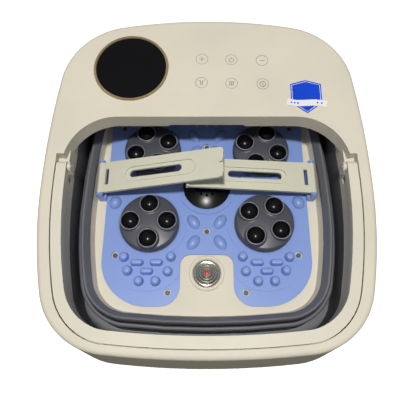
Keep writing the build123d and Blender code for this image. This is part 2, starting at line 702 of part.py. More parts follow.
with BuildPart() as rim_top_cover:
    with BuildSketch(rim_plane()):
        ring_face(RIM)
    with BuildSketch(Plane.XY.offset(SKIRT_Z)):
        ring_face(RIM, SKIRT_FLARE)
    loft()
    fillet(rim_top_cover.faces().sort_by(Axis.Z)[-1].edges(), LIP_ROUND)
    with BuildSketch(rim_plane(WALL)):
        ring_face(RIM, -WALL)
    with BuildSketch(Plane.XY.offset(SKIRT_Z - 1)):
        ring_face(RIM, SKIRT_FLARE - WALL)
    loft(mode=Mode.SUBTRACT)
    # drop walls round the handle channel and along the deck's front
    with BuildSketch(rim_plane(1)):
        opening_face(BAND)
    extrude(amount=CHANNEL_DEPTH - 1.2, dir=DOWN)
    with BuildSketch(rim_plane(1)):
        arch_face(BAND)
        with Locations((0, POCKET_Y + 100)):
            Rectangle(400, 200, mode=Mode.INTERSECT)
    extrude(amount=DECK_DEPTH - 1, dir=DOWN)
    with BuildSketch(rim_plane(-1)):
        opening_face()
    extrude(amount=60, dir=DOWN, mode=Mode.SUBTRACT)
    # shallow arch cut out of the middle of the deck's front
    with BuildSketch(Plane.XZ.offset(-DECK_FRONT_Y + 5)):
        with Locations((0, rim_z(DECK_FRONT_Y) - DECK_DEPTH)):
            Trapezoid(100, 6, 55)
    extrude(amount=-12, mode=Mode.SUBTRACT)
    # hole for the display
    with BuildSketch(rim_plane(-1)):
        with Locations(DISPLAY):
            Circle(DISPLAY_RADIUS - 2.5)
    extrude(amount=8, dir=DOWN, mode=Mode.SUBTRACT)
finish(rim_top_cover, "rim_top_cover")

PIVOT_Z = rim_z(PIVOT_Y) - HANDLE_GAP - HANDLE_TALL / 2
EAR_INSIDE_X = 160.0
EAR_THICK = 3.5
EAR_RADIUS = 5.5
SLOT_Z = (156.0, 166.5)

with BuildPart() as rim_inner_frame:
    with BuildSketch(rim_plane(CHANNEL_DEPTH)):
        opening_face(BAND - 0.2)
        ring_face(INNER, mode=Mode.SUBTRACT)
        with Locations((0, POCKET_Y - 150)):
            Rectangle(400, 300, mode=Mode.INTERSECT)
    extrude(amount=BAND, dir=DOWN)
    with BuildSketch(rim_plane(CHANNEL_DEPTH)):
        band_face(INNER, 0, WALL)
    extrude(amount=WALL_DEPTH - CHANNEL_DEPTH, dir=DOWN)
    # clearance round the front of the deck
    with BuildSketch(rim_plane()):
        arch_face(BAND + COVER_GAP)
        arch_face(-COVER_GAP, mode=Mode.SUBTRACT)
        with Locations((0, POCKET_Y - 0.5 + 100)):
            Rectangle(400, 200, mode=Mode.INTERSECT)
    extrude(amount=DECK_DEPTH + COVER_GAP, dir=DOWN, mode=Mode.SUBTRACT)
    # ears that carry the handle pins
    for side in (-1, 1):
        with BuildSketch(Plane.YZ.offset(side * EAR_INSIDE_X)):
            with Locations((PIVOT_Y, PIVOT_Z)):
                Circle(EAR_RADIUS)
            with Locations((PIVOT_Y, PIVOT_Z - EAR_RADIUS)):
                Rectangle(2 * EAR_RADIUS, 2 * EAR_RADIUS)
        extrude(amount=side * EAR_THICK)
        with BuildSketch(Plane.XZ.offset(-PIVOT_Y)):
            with Locations((side * (EAR_INSIDE_X + 4), PIVOT_Z - 9.0)):
                Rectangle(8, 4)
        extrude(amount=EAR_RADIUS, both=True)
    with BuildSketch(Plane.YZ.offset(0)):
        with Locations((PIVOT_Y, PIVOT_Z)):
            Circle(PIN_RADIUS + 0.1)
    extrude(amount=200, both=True, mode=Mode.SUBTRACT)
    # catches for the lugs of the arms
    for y in LUG_Y:
        with BuildSketch(Plane.YZ.offset(-200)):
            with Locations((y, sum(SLOT_Z) / 2)):
                Rectangle(6.4, SLOT_Z[1] - SLOT_Z[0])
        extrude(amount=400, mode=Mode.SUBTRACT)
finish(rim_inner_frame, "rim_inner_frame")

with BuildPart() as deck_under_cover:
    with BuildSketch(rim_plane(DECK_DEPTH - BAND)):
        ring_face(INNER, -COVER_GAP)
        arch_face(BAND + COVER_GAP, mode=Mode.SUBTRACT)
        with Locations((0, POCKET_Y + 110)):
            Rectangle(400, 200, mode=Mode.INTERSECT)
    extrude(amount=BAND, dir=DOWN)
    # posts for the display board
    with BuildSketch(rim_plane(11)):
        with Locations(DISPLAY):
            with PolarLocations(32, 4, start_angle=45):
                Circle(3)
    extrude(amount=DECK_DEPTH - BAND - 11 + 0.5, dir=DOWN)
finish(deck_under_cover, "deck_under_cover")

with BuildPart() as display_ring:
    with BuildSketch(rim_plane()):
        with Locations(DISPLAY):
            Circle(DISPLAY_RADIUS)
            Circle(DISPLAY_RADIUS - 3.4, mode=Mode.SUBTRACT)
    extrude(amount=1.6)
    chamfer(display_ring.faces().sort_by(Axis.Z)[-1].edges(), 0.5)
    with BuildSketch(rim_plane()):
        with Locations(DISPLAY):
            Circle(DISPLAY_RADIUS - 2.8)
            Circle(DISPLAY_RADIUS - 3.4, mode=Mode.SUBTRACT)
    extrude(amount=-4)
finish(display_ring, "display_ring")

with BuildPart() as display_window:
    with BuildSketch(Plane.XZ.offset(-DISPLAY[1])):
        with BuildLine() as section:
            crown = dome_arc(DISPLAY[0], 43.4, 0.8, 6.0)
            Polyline(crown @ 1, (DISPLAY[0], -4), (DISPLAY[0] + 43.4, -4), crown @ 0)
        make_face(section.edges())
    revolve(axis=Axis((DISPLAY[0], DISPLAY[1], 0), (0, 0, 1)))
display_window.part.locate(rim_plane().location)
finish(display_window, "display_window")

with BuildPart() as display_board:
    with BuildSketch(rim_plane(9.4)):
        with Locations(DISPLAY):
            Circle(38)
    extrude(amount=1.6, dir=DOWN)
finish(display_board, "display_board")

TOUCH_MIDDLE = (31.5, 132.0)

with BuildPart() as touch_board:
    with BuildSketch(rim_plane(WALL)):
        with Locations(TOUCH_MIDDLE):
            Rectangle(112, 66)
    extrude(amount=1.6, dir=DOWN)
finish(touch_board, "touch_board")

BADGE = (122.5, 96.0)

with BuildPart() as badge_label:
    with BuildSketch(rim_plane()):
        with Locations(BADGE):
            Polygon((-19, 17.5), (0, 23), (19, 17.5), (19, -9), (0, -23), (-19, -9), align=None)
    extrude(amount=0.4)
finish(badge_label, "badge_label")

DECK_SCREWS = [(side * x, y) for x, y in ((60, 100), (135, 90), (110, 150), (40, 172)) for side in (-1, 1)]

with BuildPart() as deck_screws:
    for x, y in DECK_SCREWS:
        with BuildSketch(rim_plane(DECK_DEPTH)):
            with Locations((x, y)):
                Circle(3.6)
        extrude(amount=1.6, dir=DOWN)
finish(deck_screws, "deck_screws")

# ---------------------------------------------------------------- carry handle
with BuildPart() as carry_handle:
    with BuildSketch(rim_plane(HANDLE_GAP)):
        ring_face(CHANNEL, -1.3)
        ring_face(INNER, -1.0, mode=Mode.SUBTRACT)
        with Locations((0, PIVOT_Y + HANDLE_TALL / 2 - 150)):
            Rectangle(400, 300, mode=Mode.INTERSECT)
    extrude(amount=HANDLE_TALL, dir=DOWN)
    with BuildSketch(Plane.YZ):
        with Locations((PIVOT_Y, PIVOT_Z)):
            Circle(PIN_RADIUS + 0.2)
    extrude(amount=200, both=True, mode=Mode.SUBTRACT)
    ends = carry_handle.edges().filter_by(Axis.X).filter_by_position(Axis.Y, PIVOT_Y, PIVOT_Y + HANDLE_TALL)
    fillet(ends, HANDLE_TALL / 2 - 0.2)
finish(carry_handle, "carry_handle")

with BuildPart() as handle_pins:
    for side in (-1, 1):
        with BuildSketch(Plane.YZ.offset(side * EAR_INSIDE_X)):
            with Locations((PIVOT_Y, PIVOT_Z)):
                Circle(PIN_RADIUS)
        extrude(amount=side * 16.5)
        with BuildSketch(Plane.YZ.offset(side * EAR_INSIDE_X)):
            with Locations((PIVOT_Y, PIVOT_Z)):
                Circle(4)
        extrude(amount=-side * 1.0)
finish(handle_pins, "handle_pins")


# ---------------------------------------------------------------- support arms
def support_arm(side, tilt):
    """Arm along +X from its hinge at the origin, then turned into place on its side."""
    half = ARM_WIDTH / 2
    with BuildPart() as arm:
        with BuildSketch(Plane.XY.offset(-ARM_THICK / 2)):
            with BuildLine() as outline:
                corners = [(0, -half), (ARM_LENGTH, 1 - half), (ARM_LENGTH, half - 1), (0, half)]
                FilletPolyline(*corners, radius=4)
                Line((0, half), (0, -half))
            make_face(outline.edges())
        extrude(amount=ARM_THICK)
        # raised border round the long slot
        with BuildSketch(Plane.XY.offset(ARM_THICK / 2)):
            with Locations((82, 0)):
                SlotOverall(96, 22)
        extrude(amount=SLOT_BORDER)
        with BuildSketch(Plane.XY.offset(ARM_THICK / 2 + SLOT_BORDER)):
            with Locations((82, 0)):
                SlotOverall(92, 18)
        extrude(amount=-SLOT_BORDER - SLOT_RECESS, mode=Mode.SUBTRACT)
        with BuildSketch(Plane.XY.offset(-ARM_THICK)):
            with Locations((76, 0)):
                SlotOverall(70, 10)
            with Locations((9.5, 0)):
                Rectangle(5, ARM_WIDTH - 20)
        extrude(amount=3 * ARM_THICK, mode=Mode.SUBTRACT)
        # hinge barrel and the two lugs at the free end
        with BuildSketch(Plane.XZ):
            Circle(3.6)
        extrude(amount=ARM_WIDTH / 2, both=True)
        for lug_y in LUG_Y:
            with BuildSketch(Plane.XY.offset(-ARM_THICK / 2)):
                with Locations((ARM_LENGTH - 1.75, side * (ARM_Y - lug_y))):
                    Rectangle(3.5, 5)
            extrude(amount=ARM_THICK + 4)
        with BuildSketch(Plane.XZ):
            Circle(1.7)
        extrude(amount=ARM_WIDTH, both=True, mode=Mode.SUBTRACT)
    turn = -tilt if side < 0 else tilt
    spin = 0 if side < 0 else 180
    placed = Pos(side * ARM_HINGE_X, ARM_Y, ARM_HINGE_Z) * Rot(0, turn, 0) * Rot(0, 0, spin)
    return placed * arm.part


for name, side, tilt in (("left_arm", -1, LEFT_ARM_TILT), ("right_arm", 1, RIGHT_ARM_TILT)):
    arm_part = support_arm(side, tilt)
    arm_part.label = name
    export_step(arm_part, f"parts/{name}.step")

with BuildPart() as arm_pins:
    with BuildSketch(Plane.XZ.offset(-ARM_Y)):
        with Locations((ARM_HINGE_X, ARM_HINGE_Z), (-ARM_HINGE_X, ARM_HINGE_Z)):
            Circle(1.5)
    extrude(amount=ARM_WIDTH / 2 + 3.5, both=True)
finish(arm_pins, "arm_pins")
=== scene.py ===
import bpy
from math import ceil, cos, hypot, pi, radians, sin, sqrt, tan
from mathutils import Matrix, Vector
from mathutils.geometry import tessellate_polygon


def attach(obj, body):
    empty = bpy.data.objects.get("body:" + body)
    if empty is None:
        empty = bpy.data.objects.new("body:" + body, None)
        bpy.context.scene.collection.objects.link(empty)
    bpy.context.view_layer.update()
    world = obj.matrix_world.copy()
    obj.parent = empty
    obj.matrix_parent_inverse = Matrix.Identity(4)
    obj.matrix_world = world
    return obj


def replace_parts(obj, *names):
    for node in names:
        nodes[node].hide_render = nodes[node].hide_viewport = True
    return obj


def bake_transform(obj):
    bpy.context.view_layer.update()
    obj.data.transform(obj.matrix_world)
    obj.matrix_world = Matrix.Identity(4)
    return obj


# Looks of the folding foot bath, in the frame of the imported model.  Camera, lights and stage are in
# metres; the added pieces are drawn in millimetres.

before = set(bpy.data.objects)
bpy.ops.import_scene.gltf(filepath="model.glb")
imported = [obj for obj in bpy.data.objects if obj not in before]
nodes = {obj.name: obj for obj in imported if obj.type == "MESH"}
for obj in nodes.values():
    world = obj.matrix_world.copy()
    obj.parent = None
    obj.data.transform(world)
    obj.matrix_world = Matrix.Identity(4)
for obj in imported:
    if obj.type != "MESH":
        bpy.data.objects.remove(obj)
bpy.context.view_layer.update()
scene = bpy.context.scene
MM = 0.001

# ---------------------------------------------------------------- camera and light
camera = bpy.data.objects.new("camera", bpy.data.cameras.new("camera"))
camera.data.lens = 40.5
camera.data.shift_x = -0.017
camera.data.clip_start = 0.02
camera.location = (0, -0.2296, 0.657)
camera.rotation_euler = (radians(22), 0, 0)
scene.collection.objects.link(camera)
scene.camera = camera
scene.view_settings.view_transform = "Standard"


def area_light(name, place, target, size, watts, colour=(1, 1, 1)):
    lamp = bpy.data.objects.new(name, bpy.data.lights.new(name, "AREA"))
    lamp.data.shape = "RECTANGLE"
    lamp.data.size, lamp.data.size_y = size
    lamp.data.energy = watts
    lamp.data.color = colour
    lamp.location = place
    lamp.rotation_euler = (Vector(target) - Vector(place)).to_track_quat("-Z", "Y").to_euler()
    scene.collection.objects.link(lamp)


area_light("key", (-0.05, -0.30, 1.98), (0, 0, 0.15), (0.16, 0.16), 27, (1, 0.985, 0.95))
area_light("front_strip", (0.75, -1.0, 0.42), (-0.09, 0.13, 0.19), (0.42, 0.025), 0.45)


def world_light():
    """Soft grey light from above, fading towards the horizon and dark below it."""
    world = bpy.data.worlds.new("studio")
    scene.world = world
    world.use_nodes = True
    tree = world.node_tree
    place = tree.nodes.new("ShaderNodeTexCoord")
    split = tree.nodes.new("ShaderNodeSeparateXYZ")
    shift = tree.nodes.new("ShaderNodeMapRange")
    shift.inputs["From Min"].default_value = -1
    ramp = tree.nodes.new("ShaderNodeValToRGB")
    ramp.color_ramp.elements[0].position = 0.45
    ramp.color_ramp.elements[0].color = (0.05, 0.05, 0.045, 1)
    ramp.color_ramp.elements[1].position = 0.55
    ramp.color_ramp.elements[1].color = (0.07, 0.07, 0.07, 1)
    for position, level in ((0.75, 0.20), (1.0, 0.34)):
        ramp.color_ramp.elements.new(position).color = (level, level, level, 1)
    tree.links.new(place.outputs["Generated"], split.inputs[0])
    tree.links.new(split.outputs["Z"], shift.inputs["Value"])
    tree.links.new(shift.outputs[0], ramp.inputs[0])
    tree.links.new(ramp.outputs[0], tree.nodes["Background"].inputs["Color"])


world_light()


# ---------------------------------------------------------------- materials
def new_material(name):
    material = bpy.data.materials.new(name)
    material.use_nodes = True
    shader = material.node_tree.nodes["Principled BSDF"]
    return material, material.node_tree, shader


def noise(tree, scale, detail=3.0):
    """Noise read at the object's own coordinates, with scale in cycles per metre."""
    place = tree.nodes.new("ShaderNodeTexCoord")
    texture = tree.nodes.new("ShaderNodeTexNoise")
    texture.inputs["Scale"].default_value = scale
    texture.inputs["Detail"].default_value = detail
    tree.links.new(place.outputs["Object"], texture.inputs["Vector"])
    return texture.outputs["Fac"]


def between(tree, factor, low, high):
    """Colour ramp between two colours."""
    ramp = tree.nodes.new("ShaderNodeValToRGB")
    ramp.color_ramp.elements[0].position = 0.3
    ramp.color_ramp.elements[0].color = (*low, 1)
    ramp.color_ramp.elements[1].position = 0.7
    ramp.color_ramp.elements[1].color = (*high, 1)
    tree.links.new(factor, ramp.inputs[0])
    return ramp.outputs[0]


def ranged(tree, factor, low, high):
    node = tree.nodes.new("ShaderNodeMapRange")
    node.inputs["To Min"].default_value = low
    node.inputs["To Max"].default_value = high
    tree.links.new(factor, node.inputs["Value"])
    return node.outputs[0]


def bumped(tree, shader, height, strength, distance):
    bump = tree.nodes.new("ShaderNodeBump")
    bump.inputs["Strength"].default_value = strength
    bump.inputs["Distance"].default_value = distance
    tree.links.new(height, bump.inputs["Height"])
    tree.links.new(bump.outputs[0], shader.inputs["Normal"])


def moulded(name, colour, roughness, vary=0.03, grain=2500, bump=0.12, coat=0.0, specular=0.5):
    """Moulded plastic or rubber: faint cloudy colour, uneven gloss and a fine grain."""
    material, tree, shader = new_material(name)
    low = [c * (1 - vary) for c in colour]
    high = [c * (1 + vary) for c in colour]
    tree.links.new(between(tree, noise(tree, 14), low, high), shader.inputs["Base Color"])
    gloss = ranged(tree, noise(tree, 90), roughness * 0.88, roughness * 1.12)
    tree.links.new(gloss, shader.inputs["Roughness"])
    shader.inputs["Coat Weight"].default_value = coat
    shader.inputs["Coat Roughness"].default_value = 0.12
    shader.inputs["Specular IOR Level"].default_value = specular
    bumped(tree, shader, noise(tree, grain, 2), bump, 0.0001)
    return material


def metal(name, colour, roughness, grain=900, bump=0.1):
    material, tree, shader = new_material(name)
    low = [c * 0.93 for c in colour]
    tree.links.new(between(tree, noise(tree, 60), low, colour), shader.inputs["Base Color"])
    gloss = ranged(tree, noise(tree, 250), roughness * 0.8, roughness * 1.2)
    tree.links.new(gloss, shader.inputs["Roughness"])
    shader.inputs["Metallic"].default_value = 1.0
    bumped(tree, shader, noise(tree, grain, 2), bump, 0.0001)
    return material


def knurled_gold(centre):
    """Pale gold with fine knurling round the ring's own centre."""
    material, tree, shader = new_material("gold_trim_metal")
    place = tree.nodes.new("ShaderNodeTexCoord")
    shift = tree.nodes.new("ShaderNodeMapping")
    shift.inputs["Location"].default_value = (-centre[0], -centre[1], 0)
    turn = tree.nodes.new("ShaderNodeTexGradient")
    turn.gradient_type = "RADIAL"
    teeth = tree.nodes.new("ShaderNodeMath")
    teeth.operation = "MULTIPLY"
    teeth.inputs[1].default_value = 2 * pi * 180
    wave = tree.nodes.new("ShaderNodeMath")
    wave.operation = "SINE"
    tree.links.new(place.outputs["Object"], shift.inputs["Vector"])
    tree.links.new(shift.outputs[0], turn.inputs["Vector"])
    tree.links.new(turn.outputs["Fac"], teeth.inputs[0])
    tree.links.new(teeth.outputs[0], wave.inputs[0])
    bumped(tree, shader, wave.outputs[0], 0.25, 0.0002)
    colour = between(tree, noise(tree, 60), (0.62, 0.47, 0.25), (0.74, 0.59, 0.35))
    tree.links.new(colour, shader.inputs["Base Color"])
    tree.links.new(ranged(tree, noise(tree, 300), 0.24, 0.34), shader.inputs["Roughness"])
    shader.inputs["Metallic"].default_value = 1.0
    return material


DISPLAY = (-95.0, 137.0)
SLOTS = {
    "cream_shell": moulded("cream_shell_plastic", (0.68, 0.635, 0.525), 0.55, specular=0.35),
    "cream_handle": moulded("cream_handle_plastic", (0.67, 0.63, 0.53), 0.50, specular=0.35),
    "cream_arm": moulded("cream_arm_plastic", (0.61, 0.605, 0.49), 0.50, specular=0.35),
    "blue_plate": moulded("blue_plate_plastic", (0.222, 0.325, 0.68), 0.34, specular=0.45),
    "head_plastic": moulded("head_plastic_charcoal", (0.066, 0.068, 0.086), 0.36),
    "bead_gloss": moulded("bead_gloss_black", (0.004, 0.004, 0.005), 0.24, vary=0.2, bump=0.02,
                          specular=0.22),
    "bellows_rubber": moulded("bellows_rubber_grey", (0.125, 0.128, 0.145), 0.50, vary=0.08, grain=1200),
    "black_rubber": moulded("black_rubber", (0.018, 0.018, 0.018), 0.7, vary=0.2, grain=1200, bump=0.3),
    "dark_plastic": moulded("dark_plastic", (0.03, 0.03, 0.032), 0.5, vary=0.1),
    "steel": metal("bright_steel", (0.62, 0.62, 0.64), 0.28),
    "clear_lens": metal("lens_mirror", (0.68, 0.67, 0.61), 0.17, grain=300, bump=0.05),
    "display_glass": moulded("display_glass_black", (0.002, 0.002, 0.003), 0.08, vary=0.3, bump=0.0,
                             specular=0.24),
    "gold_trim": knurled_gold([c * MM for c in DISPLAY]),
    "badge_blue": moulded("badge_blue_print", (0.002, 0.06, 0.62), 0.45, vary=0.10, bump=0.02,
                          specular=0.2),
}
for node in nodes.values():
    slot = node.data.materials[0].name
    node.data.materials[0] = SLOTS[slot]

# ---------------------------------------------------------------- floor and backdrop
floor_material, floor_tree, floor_shader = new_material("studio_floor")
floor_colour = between(floor_tree, noise(floor_tree, 2), (0.93, 0.93, 0.93), (0.95, 0.95, 0.95))
floor_tree.links.new(floor_colour, floor_shader.inputs["Base Color"])
floor_shader.inputs["Roughness"].default_value = 0.9
floor_shader.inputs["Emission Color"].default_value = (1, 1, 1, 1)
floor_shader.inputs["Emission Strength"].default_value = 0.45
floor_mesh = bpy.data.meshes.new("floor")
floor_mesh.from_pydata([(-6, -6, 0), (6, -6, 0), (6, 6, 0), (-6, 6, 0)], [], [(0, 1, 2, 3)])
floor_mesh.materials.append(floor_material)
floor = bpy.data.objects.new("floor", floor_mesh)
backdrop_material, _, backdrop_shader = new_material("studio_backdrop")
backdrop_shader.inputs["Base Color"].default_value = (0, 0, 0, 1)
backdrop_shader.inputs["Emission Color"].default_value = (1, 1, 1, 1)
backdrop_shader.inputs["Emission Strength"].default_value = 0.93
SIDES = 64
BACKDROP_RADIUS = 5.9
turns = [2 * pi * i / SIDES for i in range(SIDES)]
corners = [(BACKDROP_RADIUS * cos(a), BACKDROP_RADIUS * sin(a)) for a in turns]
wall = [(x, y, z) for z in (-0.01, 5.0) for x, y in corners]
wall_faces = [(i, (i + 1) % SIDES, SIDES + (i + 1) % SIDES, SIDES + i) for i in range(SIDES)]
backdrop_mesh = bpy.data.meshes.new("backdrop")
backdrop_mesh.from_pydata(wall, [], wall_faces)
backdrop_mesh.materials.append(backdrop_material)
backdrop = bpy.data.objects.new("backdrop", backdrop_mesh)
backdrop.visible_shadow = False
for stage_piece in (floor, backdrop):
    stage_piece.visible_diffuse = False
    stage_piece.visible_glossy = False
    scene.collection.objects.link(stage_piece)


# ---------------------------------------------------------------- mesh helpers
def add_piece(name, points, faces, body, slot, material=None, smooth=True):
    """A mesh piece in the model's frame; points are in millimetres."""
    mesh = bpy.data.meshes.new(name)
    mesh.from_pydata([Vector(p) * MM for p in points], [], faces)
    mesh.validate()
    mesh.polygons.foreach_set("use_smooth", [smooth] * len(mesh.polygons))
    mesh.materials.append(material or SLOTS[slot])
    piece = bpy.data.objects.new(name, mesh)
    scene.collection.objects.link(piece)
    if body:
        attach(piece, body)
    return piece


def crease_by_angle(piece, degrees):
    modifier = piece.modifiers.new("creases", "EDGE_SPLIT")
    modifier.split_angle = radians(degrees)
    return piece


def loft_faces(rows, columns, close_rows=False):
    """Quads between rows of points that each close round on themselves."""
    faces = []
    for r in range(rows if close_rows else rows - 1):
        for c in range(columns):
            a, b = r * columns + c, r * columns + (c + 1) % columns
            d, e = ((r + 1) % rows) * columns + c, ((r + 1) % rows) * columns + (c + 1) % columns
            faces.append((a, b, e, d))
    return faces


def rounded(loop, soft):
    """Closed loop with each corner eased over a distance of at most soft on both sides."""
    guarded = []
    for before, point, after in zip(loop[-1:] + loop[:-1], loop, loop[1:] + loop[:1]):
        for other in (before, None, after):
            if other is None:
                guarded.append(point)
                continue
            gap = hypot(point[1] - other[1], point[2] - other[2]) + 60 * abs(point[0] - other[0])
            share = min(soft, 0.45 * gap) / gap
            guarded.append(tuple(p + share * (q - p) for p, q in zip(point, other)))
    eased = []
    for p, q in zip(guarded, guarded[1:] + guarded[:1]):
        eased.append(tuple(0.75 * u + 0.25 * v for u, v in zip(p, q)))
        eased.append(tuple(0.25 * u + 0.75 * v for u, v in zip(p, q)))
    return eased


# ---------------------------------------------------------------- rings of the tub and the rim
WIDEST_Y = -26.0
FRONT_TURNS = (12.0, 6.0)
REAR_TURNS = (8.0, 10.0)
INNER = (166.0, 187.0, 187.0, 56.0, 66.0)
WELL = (143.5, 157.0, 160.0, 44.0, 50.0)
RIM_TILT = radians(4.0)
RIM_MID_Z = 170.0 + 210.0 * tan(RIM_TILT)


def ring_radii(half_width, reach, corner, turns):
    headings = [radians(a) for a in (90, 90 + turns[0], 180 - turns[1], 180)]
    across = [sin(headings[i + 1]) - sin(headings[i]) for i in range(3)]
    along = [cos(headings[i]) - cos(headings[i + 1]) for i in range(3)]
    want_x = -half_width - corner * across[1]
    want_y = reach - corner * along[1]
    det = across[0] * along[2] - across[2] * along[0]
    return (want_x * along[2] - across[2] * want_y) / det, (across[0] * want_y - want_x * along[0]) / det


def ring_outline(ring, grow=0.0, step=3.0):
    """Points round a ring; the same step gives matching points on every parallel ring."""
    half_width, front, rear, front_corner, rear_corner = [size + grow for size in ring]
    front_side, front_end = ring_radii(half_width, front + WIDEST_Y, front_corner, FRONT_TURNS)
    rear_side, rear_end = ring_radii(half_width, rear - WIDEST_Y, rear_corner, REAR_TURNS)
    rear_half = [(rear_side, REAR_TURNS[0]), (rear_corner, 90 - sum(REAR_TURNS))]
    front_half = [(front_side, FRONT_TURNS[0]), (front_corner, 90 - sum(FRONT_TURNS))]
    arcs = rear_half + [(rear_end, 2 * REAR_TURNS[1])] + rear_half[::-1]
    arcs += front_half + [(front_end, 2 * FRONT_TURNS[1])] + front_half[::-1]
    x, y, heading = half_width, WIDEST_Y, pi / 2
    points = []
    for radius, turn in arcs:
        parts = ceil(turn / step)
        for i in range(parts):
            a = heading + radians(turn) * i / parts
            points.append((x + radius * (sin(a) - sin(heading)), y - radius * (cos(a) - cos(heading))))
        end = heading + radians(turn)
        x, y = x + radius * (sin(end) - sin(heading)), y - radius * (cos(end) - cos(heading))
        heading = end
    return points


def ring_skin(name, section, body, soft=1.2):
    """Bellows skin.  The section is a closed loop of (share, grow, height, lean): share runs from
    the tub's ring at 0 to the rim's inner ring at 1, and lean 1 follows the slope of the rim."""
    loop = rounded(section, soft)
    points = []
    for share, grow, z, lean in loop:
        ring = tuple(near + share * (far - near) for near, far in zip(WELL, INNER))
        points += [(x, y, z + lean * y * tan(RIM_TILT)) for x, y in ring_outline(ring, grow)]
    columns = len(ring_outline(WELL))
    return add_piece(name, points, loft_faces(len(loop), columns, True), body, "bellows_rubber")


# ---------------------------------------------------------------- bellows
LOWER_FOLD_Z = 123.0    # fold between the tub's cuff and the lower leg
UPPER_FOLD_Z = 113.0    # fold between the middle ring and the upper leg
LEG = 31.25             # height of each folded leg
LOWER_END_Z = LOWER_FOLD_Z - LEG
UPPER_END_Z = UPPER_FOLD_Z - LEG
lower_cuff = ring_skin("bellows_crest_skin", [
    (0, 6.2, 75, 0), (0, 8.7, 75, 0), (0, 8.7, 122.6, 0), (0, 12.5, 123.2, 0), (0, 12.5, 130, 0),
    (0, 10.8, 132.9, 0), (0, 8.6, 132.4, 0), (0, 3.2, 124.6, 0), (0, 3, 120.2, 0), (0, 6.2, 120.2, 0)],
    "base", 2.0)
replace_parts(lower_cuff, "bellows_lower_cuff")
lower_fold = ring_skin("bellows_lower_leg", [
    (0, 10, 89.25, 0), (0, 16, 89.25, 0), (0, 16, LOWER_END_Z, 0), (0, 12.5, 92, 0),
    (0, 12.5, LOWER_FOLD_Z, 0), (0, 10, LOWER_FOLD_Z, 0)], None)
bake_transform(lower_fold)
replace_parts(lower_fold, "bellows_lower_fold")
middle_ring = ring_skin("bellows_middle_skin", [
    (0, 13.5, LOWER_END_Z, 0), (0, 16, LOWER_END_Z, 0), (0, 16, 112.6, 0), (0, 18.5, 113.2, 0),
    (0, 18.5, 116.4, 0), (0, 16.8, 118, 0), (0, 14.6, 118, 0), (0, 13.5, 116.6, 0)], "middle_ring")
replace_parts(middle_ring, "bellows_middle_ring")
upper_fold = ring_skin("bellows_upper_leg", [
    (0, 16.5, 79.25, 0), (1, 2, 79.25, 0), (1, 2, UPPER_END_Z, 0), (0, 18.5, 81.9, 0),
    (0, 18.5, UPPER_FOLD_Z, 0), (0, 16.5, UPPER_FOLD_Z, 0)], None)
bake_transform(upper_fold)
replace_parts(upper_fold, "bellows_upper_fold")
WALL_DEPTH = 37.0       # lower edge of the rim's inner wall, below the rim's top
wall_z = RIM_MID_Z - WALL_DEPTH
upper_cuff = ring_skin("bellows_rim_skin", [
    (1, -0.5, UPPER_END_Z, 0), (1, 2, UPPER_END_Z, 0), (1, 2, wall_z, 1), (1, -0.5, wall_z, 1)], "rim", 0.8)
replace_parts(upper_cuff, "bellows_upper_cuff")

# ---------------------------------------------------------------- massage heads
HEAD_SPOTS = {"rear_left": (-73.0, 61.2, 22.0), "rear_right": (73.0, 61.2, -20.0),
              "front_left": (-73.0, -42.2, 0.0), "front_right": (73.0, -42.2, 57.6)}


BEAD_CIRCLE = 23.0
COLLAR_RADIUS = 12.25


def bead_middle(x, y, turn, bead):
    a = radians(turn + 90 * bead)
    return x + BEAD_CIRCLE * cos(a), y + BEAD_CIRCLE * sin(a)


def head_top(radius):
    """Height of the head's domed top at a distance from its middle."""
    if radius < 34:
        ball = (34 ** 2 + 4 ** 2) / 8
        return 124.8 - ball + sqrt(ball ** 2 - radius ** 2)
    return 115.8 + 5 * sqrt(max(0.0, 1 - ((radius - 34) / 4) ** 2))


def collar_flares(name, x, y, turn):
    """Moulded fillet round the foot of each bead collar."""
    points, faces = [], []
    around, steps = 72, 8
    for bead in range(4):
        bead_x, bead_y = bead_middle(x, y, turn, bead)
        first = len(points)
        for s in range(steps + 1):
            lean = pi / 2 * s / steps
            out, up = COLLAR_RADIUS + 2.6 * (1 - cos(lean)), 1 - sin(lean)
            for c in range(around):
                t = 2 * pi * c / around
                px, py = bead_x + out * cos(t), bead_y + out * sin(t)
                base = head_top(hypot(px - x, py - y)) - 0.06
                points.append((px, py, base + up * (125.7 - base)))
        faces += [tuple(first + i for i in face) for face in loft_faces(steps + 1, around)]
    return add_piece(f"collar_flares_{name}", points, faces, f"head_{name}", "head_plastic")


def collar_highlight_rings(name, x, y, turn):
    """Rounded edge on top of each bead collar, in a lighter grey than the head as a painted highlight."""
    points, faces = [], []
    around, steps = 60, 12
    for bead in range(4):
        bead_x, bead_y = bead_middle(x, y, turn, bead)
        first = len(points)
        for s in range(steps):
            lean = 2 * pi * s / steps
            out, z = 11.8 + 0.45 * cos(lean), 126.1 + 0.45 * sin(lean)
            for c in range(around):
                t = 2 * pi * c / around
                points.append((bead_x + out * cos(t), bead_y + out * sin(t), z))
        faces += [tuple(first + i for i in face) for face in loft_faces(steps, around, True)]
    return add_piece(f"collar_highlight_rings_{name}", points, faces, f"head_{name}", "head_plastic", collar_painted_highlight)


# Light grey for the rings on the collars' tops: a painted highlight on their rounded edge, not the head's
# own colour.
collar_painted_highlight = moulded("collar_highlight_grey", (0.34, 0.34, 0.36), 0.3, vary=0.1)
for name, (x, y, turn) in HEAD_SPOTS.items():
    collar_flares(name, x, y, turn)
    collar_highlight_rings(name, x, y, turn)


# ---------------------------------------------------------------- turned and recessed parts
def lathe(name, section, x, y, body, slot, around=72, material=None):
    """Turned piece from (radius, height) pairs, outside first and ending on the axis."""
    points = [(x + r * cos(2 * pi * c / around), y + r * sin(2 * pi * c / around), z)
              for r, z in section[:-1] for c in range(around)]
    points.append((x, y, section[-1][1]))
    faces = loft_faces(len(section) - 1, around)
    last = (len(section) - 2) * around
    faces += [(last + c, last + (c + 1) % around, len(points) - 1) for c in range(around)]
    return add_piece(name, points, faces, body, slot, material)


